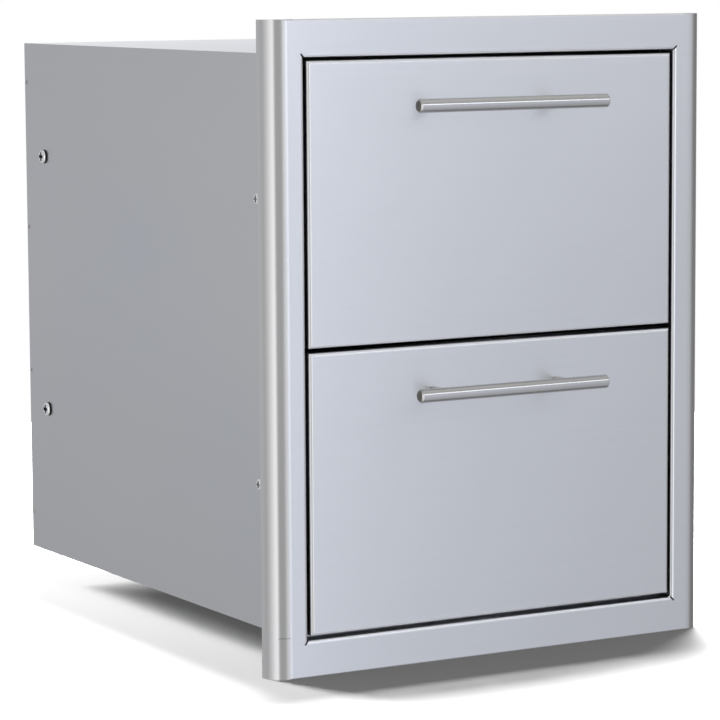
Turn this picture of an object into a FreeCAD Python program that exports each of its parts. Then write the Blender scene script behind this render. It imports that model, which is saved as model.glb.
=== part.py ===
import FreeCAD, Part
import math
import os

# Built-in two-drawer unit for an outdoor kitchen island, in millimetres.
# X runs to the right, Y to the back and Z up.
# Y = 0 is the seat plane, where the front frame's rim meets the island's face.
# X = 0 is the middle of the unit, and Z = 0 is the front frame's bottom edge.

# Front frame
frame_stile = 34.8
frame_rail = 32.0
frame_depth = 20.0
frame_sheet = 1.5
frame_edge_radius = 19.0
frame_fold_radius = 1.2
inside_fold_radius = 0.4
frame_end_lip = 14.0
frame_side_lip_gap = 0.3
opening_bend_radius = 3.0
opening_return = 18.8
relief_slit_width = 1.6
relief_slit_length = 4.6

# Cabinet
cabinet_past_opening = 12.3
cabinet_past_slides = 22.0
floor_above_opening = 2.2
panel_sheet = 1.2
panel_bend = 0.8
floor_front_bend = 2.5
panel_flange = 13.0
bottom_front_flange = 14.0
top_front_lap = 14.0
flange_end_gap = 16.0
fixing_hole_radius = 2.75
fixing_hole_from_side = 52.5
fixing_hole_front = 70.0
fixing_hole_rear = 78.0

# Rivets down the rear edge of the side panels
edge_rivet_count = 4
edge_rivet_above_bottom = 35.3
edge_rivet_below_top = 38.2
edge_rivet_inset = 4.5
edge_rivet_head_radius = 2.6
edge_rivet_head_height = 0.7
edge_rivet_crown_radius = 1.6
edge_rivet_shank_radius = 1.6
edge_rivet_mandrel_radius = 0.9
edge_rivet_mandrel_depth = 1.2
edge_rivet_tail_radius = 2.4
edge_rivet_tail = 2.0

# Drawers
drawer_side_gap = 3.0
drawer_top_gap = 3.0
drawer_between_gap = 4.0
drawer_bottom_gap = 4.0
front_width = 374.4
front_height = 245.0
front_depth = 18.0
front_sheet = 1.2
front_bend_radius = 3.0
front_lip = 12.0
inner_front_sheet = 1.2
inner_front_inset = 1.0
tray_sheet = 1.0
tray_bend = 1.5
tray_lip = 9.0
tray_above_front_bottom = 20.0
tray_below_front_top = 30.0

# Handle
bar_diameter = 12.0
bar_length = 194.0
bar_chamfer = 1.5
bar_projection = 32.0
bar_below_front_top = 39.3
post_diameter = 8.0
post_spacing = 128.0
handle_screw_radius = 2.0
handle_screw_reach = 9.0
handle_screw_head_radius = 3.8
handle_screw_head_height = 2.2

# Slides: u runs from the outer member's mounting face towards the drawer
slide_length = 500.0
slide_front = 6.0
slide_travel = 500.0
slide_thickness = 12.7
slide_height = 45.0
slide_sheet = 1.2
slide_below_front_top = 112.0
slide_inside_opening = 0.2
slide_end_gap = 0.3
slide_web_gap = 0.3
slide_cage_gap = 0.2
slide_stop_height = 28.0
outer_flange_reach = 9.4
outer_lip = 0.7
middle_flange_reach = 10.6
ball_radius = 2.0
ball_clearance = 0.05
groove_depth = 0.4
outer_ball_reach = 5.0
inner_ball_reach = 8.0
ball_count = 8
ball_pitch = 30.0
cage_sheet = 0.6
cage_hole_clearance = 0.1
cage_end = 15.0
cage_past_ball = 2.2

# Brackets between the side panels and the slides
bracket_sheet = 1.5
bracket_bend = 1.0
bracket_height = 34.0
bracket_length = 34.0
front_screw_past_slide_front = 35.8
rear_screw_before_slide_rear = 20.3
front_screw_drop = 7.5
rear_screw_rise = 8.0
bracket_rivet_offset = 10.0
flush_rivet_radius = 2.0
flush_rivet_head_radius = 3.0
flush_rivet_head_depth = 0.9
flush_rivet_tail_radius = 3.2
flush_rivet_tail = 1.2

# Bracket screws and nuts
front_screw_radius = 2.5
front_head_radius = 5.0
front_head_height = 2.4
front_nut_width = 8.0
front_nut_height = 4.0
rear_screw_radius = 3.0
rear_head_radius = 6.8
rear_head_height = 3.4
rear_nut_width = 10.0
rear_nut_height = 5.0
screw_past_nut = 1.0
head_rounding = 0.7
recess_arm = 0.22
recess_reach = 0.62
recess_depth_share = 0.6

# Rivets that hold the inner members on the tray, and the screws of the inner front panel
tray_rivet_radius = 2.0
tray_rivet_head_radius = 3.6
tray_rivet_head_height = 1.1
tray_rivet_tail_radius = 3.0
tray_rivet_tail = 2.4
tray_rivet_count = 4
tray_rivet_end = 35.0
panel_screw_radius = 1.9
panel_screw_head_radius = 3.6
panel_screw_head_height = 2.0
panel_screw_length = 7.0
panel_screw_margin = 30.0

# The clearance of a shank in its hole, and how far a cutter runs past a face
fit = 0.03
over = 1.0

# Worked out from the sizes above
opening_width = front_width + 2 * drawer_side_gap
opening_height = drawer_bottom_gap + 2 * front_height + drawer_between_gap + drawer_top_gap
opening_bottom = frame_rail
opening_top = opening_bottom + opening_height
opening_half = opening_width / 2
opening_middle = opening_bottom + opening_height / 2
frame_width = opening_width + 2 * frame_stile
frame_height = opening_height + 2 * frame_rail
frame_side_lip = frame_stile - cabinet_past_opening - frame_side_lip_gap
return_rear = opening_return - frame_depth
cabinet_half = opening_half + cabinet_past_opening
inner_half = cabinet_half - panel_sheet
cabinet_bottom = opening_bottom + floor_above_opening
floor_top = cabinet_bottom + panel_sheet
cabinet_roof = opening_top + frame_sheet
cabinet_top = cabinet_roof + panel_sheet
slide_rear = slide_front + slide_length
cabinet_rear = slide_rear + cabinet_past_slides
front_half = front_width / 2
front_rear = front_depth - frame_depth
inner_front_rear = front_rear + inner_front_sheet
tray_height = front_height - tray_above_front_bottom - tray_below_front_top
slide_above_front_bottom = front_height - slide_below_front_top
slide_mount = opening_half - slide_inside_opening
tray_half = slide_mount - slide_thickness
tray_rear = slide_rear
front_screw_setback = slide_front + front_screw_past_slide_front
rear_screw_setback = slide_rear - rear_screw_before_slide_rear
lower_front_bottom = opening_bottom + drawer_bottom_gap
drawer_pitch = front_height + drawer_between_gap
front_bottoms = {"upper": lower_front_bottom + drawer_pitch, "lower": lower_front_bottom}
side_signs = {"left": -1, "right": 1}
outer_web_top = slide_sheet
outer_cage_web = outer_web_top + slide_cage_gap
middle_web = outer_cage_web + cage_sheet + slide_web_gap
inner_cage_web = middle_web + slide_sheet + slide_cage_gap
inner_flange_tip = inner_cage_web + cage_sheet + slide_web_gap
outer_flange_inside = slide_height / 2 - slide_sheet
outer_ball_height = outer_flange_inside + groove_depth - ball_clearance - ball_radius
middle_half = outer_ball_height - ball_radius - ball_clearance + groove_depth
middle_flange_inside = middle_half - slide_sheet
inner_ball_height = middle_flange_inside + groove_depth - ball_clearance - ball_radius
inner_half_height = inner_ball_height - ball_radius - ball_clearance + groove_depth
cage_length = (ball_count - 1) * ball_pitch + 2 * cage_end
cage_front = slide_front + (slide_length - cage_length) / 2


def vec(x, y, z):
    return FreeCAD.Vector(x, y, z)


def box(x_range, y_range, z_range):
    x0, x1 = sorted(x_range)
    y0, y1 = sorted(y_range)
    z0, z1 = sorted(z_range)
    return Part.makeBox(x1 - x0, y1 - y0, z1 - z0, vec(x0, y0, z0))


def rod(radius, start, axis, length):
    return Part.makeCylinder(radius, length, start, axis)


def fuse(shapes):
    return shapes[0].multiFuse(shapes[1:]).removeSplitter()


def mirrored(shape):
    return shape.mirror(vec(0, 0, 0), vec(1, 0, 0))


def on_side(shape, side):
    """Shapes are drawn for the right side, and the left side takes their mirror image."""
    return shape if side == "right" else mirrored(shape)


def save(name, shapes):
    shape = shapes if isinstance(shapes, Part.Shape) else Part.makeCompound(shapes)
    shape.exportStep("parts/" + name + ".step")


# Bent sheet

def rounded_path(points, radii):
    """Straight runs through the points, joined by tangent arcs of the given radii."""
    edges = []
    last = points[0]
    for before, corner, after, radius in zip(points, points[1:], points[2:], radii):
        come = (corner - before).normalize()
        go = (after - corner).normalize()
        reach = radius * math.tan(come.getAngle(go) / 2)
        start = corner - come * reach
        end = corner + go * reach
        inward = (go - come).normalize()
        centre_distance = math.hypot(radius, reach)
        middle = corner + inward * (centre_distance - radius)
        edges.append(Part.makeLine(last, start))
        edges.append(Part.Arc(start, middle, end).toShape())
        last = end
    edges.append(Part.makeLine(last, points[-1]))
    return edges


def bent_sheet(points, thickness, bend, along):
    """A sheet bent along the points and pulled along a vector.

    Its thickness lies on the side of the cross product of that vector and each run.
    """
    pull = FreeCAD.Vector(along).normalize()
    runs = [(b - a).normalize() for a, b in zip(points, points[1:])]
    normals = [pull.cross(run) for run in runs]
    far = [points[0] + normals[0] * thickness]
    near_radii = []
    far_radii = []
    for corner, first, second, go in zip(points[1:-1], normals, normals[1:], runs[1:]):
        far.append(corner + (first + second) * (thickness / (1 + first.dot(second))))
        towards_far = go.dot(first) > 0
        near_radii.append(bend + thickness if towards_far else bend)
        far_radii.append(bend if towards_far else bend + thickness)
    far.append(points[-1] + normals[-1] * thickness)
    edges = rounded_path(points, near_radii)
    edges.append(Part.makeLine(points[-1], far[-1]))
    edges.extend(rounded_path(far[::-1], far_radii[::-1]))
    edges.append(Part.makeLine(far[0], points[0]))
    face = Part.Face(Part.Wire(edges))
    return face.extrude(along)


# Folded fronts

def rounded_prism(half, y_front, y_rear, radius, length):
    """A bar along Z whose two front edges are rounded."""
    mid = radius * (1 - math.sqrt(0.5))
    left_arc = Part.Arc(
        vec(-half, y_front + radius, 0),
        vec(-half + mid, y_front + mid, 0),
        vec(-half + radius, y_front, 0),
    )
    right_arc = Part.Arc(
        vec(half - radius, y_front, 0),
        vec(half - mid, y_front + mid, 0),
        vec(half, y_front + radius, 0),
    )
    edges = [
        Part.makeLine(vec(-half, y_rear, 0), vec(-half, y_front + radius, 0)),
        left_arc.toShape(),
        Part.makeLine(vec(-half + radius, y_front, 0), vec(half - radius, y_front, 0)),
        right_arc.toShape(),
        Part.makeLine(vec(half, y_front + radius, 0), vec(half, y_rear, 0)),
        Part.makeLine(vec(half, y_rear, 0), vec(-half, y_rear, 0)),
    ]
    prism = Part.Face(Part.Wire(edges)).extrude(vec(0, 0, length))
    prism.translate(vec(0, 0, -length / 2))
    return prism


def flared_prism(half, y_front, y_rear, radius, length):
    """A bar along Z that widens in a quarter round towards its front."""
    mid = radius * (1 - math.sqrt(0.5))
    wide = half + radius
    left_arc = Part.Arc(
        vec(-wide, y_front, 0),
        vec(-half - mid, y_front + mid, 0),
        vec(-half, y_front + radius, 0),
    )
    right_arc = Part.Arc(
        vec(half, y_front + radius, 0),
        vec(half + mid, y_front + mid, 0),
        vec(wide, y_front, 0),
    )
    edges = [
        Part.makeLine(vec(-half, y_rear, 0), vec(half, y_rear, 0)),
        Part.makeLine(vec(half, y_rear, 0), vec(half, y_front + radius, 0)),
        right_arc.toShape(),
        Part.makeLine(vec(wide, y_front, 0), vec(wide, y_front - radius, 0)),
        Part.makeLine(vec(wide, y_front - radius, 0), vec(-wide, y_front - radius, 0)),
        Part.makeLine(vec(-wide, y_front - radius, 0), vec(-wide, y_front, 0)),
        left_arc.toShape(),
        Part.makeLine(vec(-half, y_front + radius, 0), vec(-half, y_rear, 0)),
    ]
    prism = Part.Face(Part.Wire(edges)).extrude(vec(0, 0, length))
    prism.translate(vec(0, 0, -length / 2))
    return prism


def crossed(prism, width, height, y_front, y_rear, side_radius, end_radius, middle_z):
    """The part that an upright prism and one lying along X share."""
    reach = 2 * (width + height)
    upright = prism(width / 2, y_front, y_rear, side_radius, reach)
    lying = prism(height / 2, y_front, y_rear, end_radius, reach)
    lying.rotate(vec(0, 0, 0), vec(0, 1, 0), 90)
    shape = upright.common(lying)
    shape.translate(vec(0, 0, middle_z))
    return shape


def pan(width, height, middle_z, rear, sheet, side_radius, end_radius, side_lip, end_lip):
    """A folded pan: a face, four sides folded back and four lips folded in behind it."""
    front = -frame_depth
    outside = crossed(
        rounded_prism, width, height, front, rear, side_radius, end_radius, middle_z
    )
    inside = crossed(
        rounded_prism,
        width - 2 * sheet,
        height - 2 * sheet,
        front + sheet,
        rear - sheet,
        max(side_radius - sheet, inside_fold_radius),
        max(end_radius - sheet, inside_fold_radius),
        middle_z,
    )
    window = box(
        (side_lip - width / 2, width / 2 - side_lip),
        (rear - 2 * sheet, rear + sheet),
        (middle_z - height / 2 + end_lip, middle_z + height / 2 - end_lip),
    )
    return outside.cut(inside).cut(window)


def front_frame():
    shell = pan(
        frame_width,
        frame_height,
        frame_height / 2,
        0,
        frame_sheet,
        frame_edge_radius,
        frame_fold_radius,
        frame_side_lip,
        frame_end_lip,
    )
    collar = crossed(
        flared_prism,
        opening_width + 2 * frame_sheet,
        opening_height + 2 * frame_sheet,
        frame_sheet - frame_depth,
        return_rear,
        opening_bend_radius - frame_sheet,
        opening_bend_radius - frame_sheet,
        opening_middle,
    )
    hole = crossed(
        flared_prism,
        opening_width,
        opening_height,
        -frame_depth,
        frame_sheet,
        opening_bend_radius,
        opening_bend_radius,
        opening_middle,
    )
    slits = [relief_slit(sx, sz) for sx in (-1, 1) for sz in (-1, 1)]
    return fuse([shell, collar]).cut([hole] + slits)


def relief_slit(x_sign, z_sign):
    """The diagonal bend relief at one corner of the opening."""
    slit = box(
        (-frame_sheet, relief_slit_length),
        (-frame_depth - frame_sheet, return_rear + frame_sheet),
        (-relief_slit_width / 2, relief_slit_width / 2),
    )
    slit.rotate(vec(0, 0, 0), vec(0, 1, 0), -45 * z_sign)
    if x_sign < 0:
        slit = mirrored(slit)
    corner_z = opening_top if z_sign > 0 else opening_bottom
    slit.translate(vec(x_sign * opening_half, 0, corner_z))
    return slit


# Cabinet

def evenly(first, last, count):
    return [first + (last - first) * i / (count - 1) for i in range(count)]


def edge_rivet_heights():
    lowest = cabinet_bottom + edge_rivet_above_bottom
    return evenly(lowest, cabinet_top - edge_rivet_below_top, edge_rivet_count)


def slide_height_of(drawer):
    return front_bottoms[drawer] + slide_above_front_bottom


def side_panel():
    """The right side panel: a flat sheet with its front edge folded in behind the frame."""
    height = cabinet_top - cabinet_bottom
    plate = bent_sheet(
        [
            vec(opening_half, return_rear, cabinet_bottom),
            vec(cabinet_half, return_rear, cabinet_bottom),
            vec(cabinet_half, cabinet_rear, cabinet_bottom),
        ],
        panel_sheet,
        panel_bend,
        vec(0, 0, height),
    )
    for bottom, top in ((cabinet_bottom, floor_top), (cabinet_roof, cabinet_top)):
        across = (opening_half - over, inner_half)
        notch = box(across, (return_rear - over, cabinet_rear), (bottom, top))
        plate = plate.cut(notch)
    holes = []
    for drawer in front_bottoms:
        z = slide_height_of(drawer)
        front_z = z - front_screw_drop
        rear_z = z + rear_screw_rise
        holes.append(side_hole(front_screw_radius, front_screw_setback, front_z))
        holes.append(side_hole(rear_screw_radius, rear_screw_setback, rear_z))
    for z in edge_rivet_heights():
        holes.append(side_hole(edge_rivet_shank_radius, cabinet_rear - edge_rivet_inset, z))
    return plate.cut(holes)


def side_hole(radius, y, z):
    start = vec(slide_mount, y, z)
    return rod(radius + fit, start, vec(1, 0, 0), cabinet_half - slide_mount + over)


def top_panel():
    """Rests on the frame's upper return, with flanges folded down inside the side panels."""
    lap_front = return_rear - top_front_lap
    plate = box((-inner_half, inner_half), (lap_front, cabinet_rear), (cabinet_roof, cabinet_top))
    across = (opening_half, inner_half + over)
    trim = box(across, (lap_front - over, return_rear), (cabinet_roof, cabinet_top))
    plate = plate.cut([trim, mirrored(trim)])
    flange = box(
        (inner_half - panel_sheet, inner_half),
        (flange_end_gap, cabinet_rear - panel_sheet - flange_end_gap),
        (cabinet_roof - panel_flange, cabinet_roof),
    )
    return fuse([plate, flange, mirrored(flange)])


def bottom_panel():
    """The floor: its sides fold up inside the side panels, its front folds down behind the frame."""
    floor = bent_sheet(
        [
            vec(inner_half, return_rear, cabinet_bottom - bottom_front_flange),
            vec(inner_half, return_rear, floor_top),
            vec(inner_half, cabinet_rear, floor_top),
        ],
        panel_sheet,
        floor_front_bend,
        vec(-2 * inner_half, 0, 0),
    )
    flange = box(
        (inner_half - panel_sheet, inner_half),
        (flange_end_gap, cabinet_rear - panel_sheet - flange_end_gap),
        (floor_top, floor_top + panel_flange),
    )
    holes = []
    hole_x = cabinet_half - fixing_hole_from_side
    for x in (-hole_x, hole_x):
        for y in (fixing_hole_front, cabinet_rear - fixing_hole_rear):
            start = vec(x, y, cabinet_bottom - over)
            holes.append(rod(fixing_hole_radius, start, vec(0, 0, 1), panel_sheet + 2 * over))
    return fuse([floor, flange, mirrored(flange)]).cut(holes)


def rear_panel():
    """Closes the back, with flanges folded forward inside all four panels."""
    inner = cabinet_rear - panel_sheet
    plate = box((-inner_half, inner_half), (inner, cabinet_rear), (floor_top, cabinet_roof))
    clear = panel_flange + panel_sheet
    side = box(
        (inner_half - panel_sheet, inner_half),
        (inner - panel_flange, inner),
        (floor_top + clear, cabinet_roof - clear),
    )
    upper = box(
        (clear - inner_half, inner_half - clear),
        (inner - panel_flange, inner),
        (cabinet_roof - panel_sheet, cabinet_roof),
    )
    lower = upper.copy()
    lower.translate(vec(0, 0, floor_top + panel_sheet - cabinet_roof))
    holes = []
    for z in edge_rivet_heights():
        hole = side_hole(edge_rivet_shank_radius, cabinet_rear - edge_rivet_inset, z)
        holes.extend([hole, mirrored(hole)])
    return fuse([plate, side, mirrored(side), upper, lower]).cut(holes)


def edge_rivet(z):
    """A blind rivet through the right side panel and the rear panel's flange."""
    y = cabinet_rear - edge_rivet_inset
    out = vec(1, 0, 0)
    grip = 2 * panel_sheet
    head = Part.makeCone(
        edge_rivet_head_radius,
        edge_rivet_crown_radius,
        edge_rivet_head_height,
        vec(cabinet_half, y, z),
        out,
    )
    shank = rod(edge_rivet_shank_radius, vec(cabinet_half - grip, y, z), out, grip)
    tail_start = vec(cabinet_half - grip - edge_rivet_tail, y, z)
    tail = rod(edge_rivet_tail_radius, tail_start, out, edge_rivet_tail)
    mouth = vec(cabinet_half + edge_rivet_head_height - edge_rivet_mandrel_depth, y, z)
    mandrel_hole = rod(edge_rivet_mandrel_radius, mouth, out, edge_rivet_mandrel_depth)
    return fuse([head, shank, tail]).cut(mandrel_hole)


# Slide brackets

def bracket(setback, hole_offset, screw_radius, drawer):
    """A channel that stands a right-hand slide off the side panel."""
    z = slide_height_of(drawer)
    half = bracket_height / 2
    start_y = setback - bracket_length / 2
    channel = bent_sheet(
        [
            vec(slide_mount, start_y, z - half),
            vec(slide_mount, start_y, z + half),
            vec(inner_half, start_y, z + half),
            vec(inner_half, start_y, z - half),
        ],
        bracket_sheet,
        bracket_bend,
        vec(0, bracket_length, 0),
    )
    span = inner_half - slide_mount
    middle = vec(slide_mount + span / 2, setback, z + hole_offset)
    screw_hole = rod(screw_radius + fit, middle, vec(1, 0, 0), span)
    rivet_holes = []
    for offset in (-bracket_rivet_offset, bracket_rivet_offset):
        start = vec(slide_mount - over, setback + offset, z)
        length = bracket_sheet + 2 * over
        rivet_holes.append(rod(flush_rivet_radius + fit, start, vec(1, 0, 0), length))
    return channel.cut([screw_hole] + rivet_holes)


def flush_rivet(setback, drawer):
    """Holds a right-hand outer member on its bracket, flush inside the member."""
    z = slide_height_of(drawer)
    out = vec(1, 0, 0)
    web_face = slide_mount - slide_sheet
    head = Part.makeCone(
        flush_rivet_head_radius,
        flush_rivet_radius,
        flush_rivet_head_depth,
        vec(web_face, setback, z),
        out,
    )
    grip = slide_sheet + bracket_sheet
    shank = rod(flush_rivet_radius, vec(web_face, setback, z), out, grip)
    tail_start = vec(web_face + grip, setback, z)
    tail = rod(flush_rivet_tail_radius, tail_start, out, flush_rivet_tail)
    return fuse([head, shank, tail])


def cross_recess(radius, depth):
    """The cutter for a cross recess in a head whose top is at the origin and faces +X."""
    arm = radius * recess_arm
    reach = radius * recess_reach
    bars = [
        box((-depth, over), (-reach, reach), (-arm, arm)),
        box((-depth, over), (-arm, arm), (-reach, reach)),
    ]
    return fuse(bars)


def pan_head(radius, height):
    """A pan head on the plane X = 0 that faces +X, with its top edge rounded and a cross recess."""
    head = rod(radius, vec(0, 0, 0), vec(1, 0, 0), height)
    rim = [e for e in head.Edges if e.BoundBox.XMin > height / 2]
    head = head.makeFillet(height * head_rounding, rim)
    cutter = cross_recess(radius, height * recess_depth_share)
    cutter.translate(vec(height, 0, 0))
    return head.cut(cutter)


def bracket_screw(radius, head_radius, head_height, nut_height, y, z):
    """A screw through the right side panel and a bracket, up to just past its nut."""
    grip = panel_sheet + bracket_sheet + nut_height + screw_past_nut
    head = pan_head(head_radius, head_height)
    head.translate(vec(cabinet_half, y, z))
    shank = rod(radius, vec(cabinet_half - grip, y, z), vec(1, 0, 0), grip)
    return fuse([head, shank])


def hex_nut(width, height, bore_radius, y, z):
    corner = width / math.sqrt(3)
    points = [
        vec(0, corner * math.cos(i * math.pi / 3), corner * math.sin(i * math.pi / 3))
        for i in range(7)
    ]
    blank = Part.Face(Part.makePolygon(points)).extrude(vec(height, 0, 0))
    bore = rod(bore_radius + fit, vec(-over, 0, 0), vec(1, 0, 0), height + 2 * over)
    nut = blank.cut(bore)
    nut.translate(vec(inner_half - bracket_sheet - height, y, z))
    return nut


# Slides, drawn with u along -X from the mounting face at X = 0 and the middle height at Z = 0

def u_box(u_range, y_range, z_range):
    return box((-u_range[0], -u_range[1]), y_range, z_range)


def both_edges(shape):
    """A shape near the slide's upper edge, and its mirror image near the lower edge."""
    return [shape, shape.mirror(vec(0, 0, 0), vec(0, 0, 1))]


def groove(u, height, y_range):
    """The race that a row of balls runs in."""
    length = y_range[1] - y_range[0]
    return rod(ball_radius + ball_clearance, vec(-u, y_range[0], height), vec(0, 1, 0), length)


def outer_member():
    span = (slide_front, slide_rear)
    long_span = (slide_front, slide_rear + slide_sheet)
    half = slide_height / 2
    web = u_box((0, slide_sheet), long_span, (-half, half))
    flange = u_box((0, outer_flange_reach), span, (outer_flange_inside, half))
    lip_u = (outer_flange_reach - slide_sheet, outer_flange_reach)
    lip = u_box(lip_u, span, (outer_flange_inside - outer_lip, outer_flange_inside))
    stop_z = (-slide_stop_height / 2, slide_stop_height / 2)
    stop = u_box((0, slide_thickness - slide_sheet), (slide_rear, long_span[1]), stop_z)
    body = fuse([web, stop] + both_edges(flange) + both_edges(lip))
    cutters = both_edges(groove(outer_ball_reach, outer_ball_height, span))
    for setback in (front_screw_setback, rear_screw_setback):
        for offset in (-bracket_rivet_offset, bracket_rivet_offset):
            cutters.append(flush_rivet_seat(setback + offset))
    return body.cut(cutters)


def flush_rivet_seat(y):
    """The countersunk hole in the outer member's web."""
    length = slide_sheet + 2 * over
    hole = rod(flush_rivet_radius + fit, vec(over, y, 0), vec(-1, 0, 0), length)
    seat = Part.makeCone(
        flush_rivet_head_radius + fit,
        flush_rivet_radius + fit,
        flush_rivet_head_depth,
        vec(-slide_sheet, y, 0),
        vec(1, 0, 0),
    )
    return fuse([hole, seat])


def middle_member():
    span = (slide_front, slide_rear - slide_end_gap)
    web = u_box((middle_web, middle_web + slide_sheet), span, (-middle_half, middle_half))
    flange_u = (middle_web, middle_flange_reach)
    flange = u_box(flange_u, span, (middle_flange_inside, middle_half))
    body = fuse([web] + both_edges(flange))
    grooves = both_edges(groove(outer_ball_reach, outer_ball_height, span))
    grooves += both_edges(groove(inner_ball_reach, inner_ball_height, span))
    return body.cut(grooves)


def inner_member():
    span = (slide_front, slide_rear - slide_end_gap)
    web_u = (slide_thickness - slide_sheet, slide_thickness)
    web = u_box(web_u, span, (-inner_half_height, inner_half_height))
    flange_u = (inner_flange_tip, slide_thickness)
    flange_z = (inner_half_height - slide_sheet, inner_half_height)
    flange = u_box(flange_u, span, flange_z)
    body = fuse([web] + both_edges(flange))
    cutters = both_edges(groove(inner_ball_reach, inner_ball_height, span))
    for place in tray_rivet_places():
        start = vec(-slide_thickness - over, slide_front + place, 0)
        length = slide_sheet + 2 * over
        cutters.append(rod(tray_rivet_radius + fit, start, vec(1, 0, 0), length))
    return body.cut(cutters)


def ball_cage(web_u, ball_u, ball_height):
    """A folded strip that spaces two rows of balls, with the balls in it."""
    span = (cage_front, cage_front + cage_length)
    half = ball_height + cage_sheet / 2
    reach = ball_u + cage_past_ball
    web = u_box((web_u, web_u + cage_sheet), span, (-half, half))
    flange = u_box((web_u, reach), span, (half - cage_sheet, half))
    body = fuse([web] + both_edges(flange))
    holes = []
    balls = []
    for i in range(ball_count):
        y = cage_front + cage_end + i * ball_pitch
        start = vec(-ball_u, y, ball_height - ball_radius)
        hole = rod(ball_radius + cage_hole_clearance, start, vec(0, 0, 1), 2 * ball_radius)
        holes.extend(both_edges(hole))
        for side in (-1, 1):
            centre = vec(-ball_u, y, side * ball_height)
            balls.append(Part.makeSphere(ball_radius, centre, vec(0, 0, 1)))
    return Part.makeCompound([body.cut(holes)] + balls)


def placed_slide(shape, drawer, side):
    moved = shape.copy()
    moved.translate(vec(slide_mount, 0, slide_height_of(drawer)))
    return on_side(moved, side)


# Drawers

def drawer_front(bottom):
    middle = bottom + front_height / 2
    body = pan(
        front_width,
        front_height,
        middle,
        front_rear,
        front_sheet,
        front_bend_radius,
        front_bend_radius,
        front_lip,
        front_lip,
    )
    holes = [handle_screw_hole(bottom, side) for side in (-1, 1)]
    holes += [panel_screw_hole(x, z) for x, z in panel_screw_places(bottom)]
    return body.cut(holes)


def tray_rivet_places():
    """How far each rivet lies behind the slide's front end."""
    return evenly(tray_rivet_end, slide_length - tray_rivet_end, tray_rivet_count)


def handle_height(bottom):
    return bottom + front_height - bar_below_front_top


def handle_screw_hole(bottom, side):
    start = vec(side * post_spacing / 2, -frame_depth - over, handle_height(bottom))
    return rod(handle_screw_radius + fit, start, vec(0, 1, 0), front_sheet + 2 * over)


def panel_screw_places(bottom):
    x = front_half - front_lip / 2
    heights = (
        bottom + panel_screw_margin,
        bottom + front_height / 2,
        bottom + front_height - panel_screw_margin,
    )
    return [(side * x, z) for side in (-1, 1) for z in heights]


def panel_screw_hole(x, z):
    start = vec(x, front_rear - 2 * front_sheet, z)
    return rod(panel_screw_radius + fit, start, vec(0, 1, 0), 4 * front_sheet)


def inner_front(bottom):
    """The sheet that closes the pan, which the tray is welded to."""
    edge = inner_front_inset
    sheet = box(
        (edge - front_half, front_half - edge),
        (front_rear, inner_front_rear),
        (bottom + edge, bottom + front_height - edge),
    )
    return sheet.cut([panel_screw_hole(x, z) for x, z in panel_screw_places(bottom)])


def panel_screw(x, z):
    head = pan_head(panel_screw_head_radius, panel_screw_head_height)
    head.rotate(vec(0, 0, 0), vec(0, 0, 1), 90)
    head.translate(vec(x, inner_front_rear, z))
    start = vec(x, inner_front_rear - panel_screw_length, z)
    shank = rod(panel_screw_radius, start, vec(0, 1, 0), panel_screw_length)
    return fuse([head, shank])


def tray(bottom):
    """The drawer's bottom and sides, one sheet folded up, with lips turned in along the top."""
    low = bottom + tray_above_front_bottom
    high = low + tray_height
    y = inner_front_rear
    inward = tray_half - tray_lip
    length = tray_rear - inner_front_rear
    sheet = bent_sheet(
        [
            vec(inward, y, high),
            vec(tray_half, y, high),
            vec(tray_half, y, low),
            vec(-tray_half, y, low),
            vec(-tray_half, y, high),
            vec(-inward, y, high),
        ],
        tray_sheet,
        tray_bend,
        vec(0, length, 0),
    )
    z = bottom + slide_above_front_bottom
    holes = []
    for place in tray_rivet_places():
        start = vec(tray_half - tray_sheet - over, slide_front + place, z)
        hole = rod(tray_rivet_radius + fit, start, vec(1, 0, 0), tray_sheet + 2 * over)
        holes.extend([hole, mirrored(hole)])
    return sheet.cut(holes)


def tray_back(bottom):
    """The drawer's back, between the tray's sides, with its top lip turned forward."""
    low = bottom + tray_above_front_bottom + tray_sheet + tray_bend
    high = bottom + tray_above_front_bottom + tray_height - tray_sheet - tray_bend
    half = tray_half - tray_sheet
    return bent_sheet(
        [
            vec(half, tray_rear - tray_lip, high),
            vec(half, tray_rear, high),
            vec(half, tray_rear, low),
        ],
        tray_sheet,
        tray_bend,
        vec(-2 * half, 0, 0),
    )


def tray_rivet(y, z):
    """A blind rivet through the right inner member's web and the tray's side."""
    out = vec(1, 0, 0)
    web_face = tray_half + slide_sheet
    head = rod(tray_rivet_head_radius, vec(web_face, y, z), out, tray_rivet_head_height)
    grip = slide_sheet + tray_sheet
    shank = rod(tray_rivet_radius, vec(web_face - grip, y, z), out, grip)
    tail_start = vec(web_face - grip - tray_rivet_tail, y, z)
    tail = rod(tray_rivet_tail_radius, tail_start, out, tray_rivet_tail)
    return fuse([head, shank, tail])


# Handles

def handle_bar(bottom):
    radius = bar_diameter / 2
    start = vec(-bar_length / 2, -frame_depth - bar_projection, handle_height(bottom))
    bar = rod(radius, start, vec(1, 0, 0), bar_length)
    rims = [e for e in bar.Edges if e.BoundBox.XLength < bar_length / 2]
    return bar.makeChamfer(bar_chamfer, rims)


def handle_post(bottom, side):
    """Runs from the drawer front to the bar, hollowed to sit against it."""
    z = handle_height(bottom)
    x = side * post_spacing / 2
    front = -frame_depth - bar_projection
    post = rod(post_diameter / 2, vec(x, front, z), vec(0, 1, 0), bar_projection)
    saddle_start = vec(x - post_diameter, front, z)
    saddle = rod(bar_diameter / 2, saddle_start, vec(1, 0, 0), 2 * post_diameter)
    reach = handle_screw_reach
    bore_start = vec(x, -frame_depth - reach, z)
    bore = rod(handle_screw_radius + fit, bore_start, vec(0, 1, 0), reach)
    return post.cut([saddle, bore])


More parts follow.
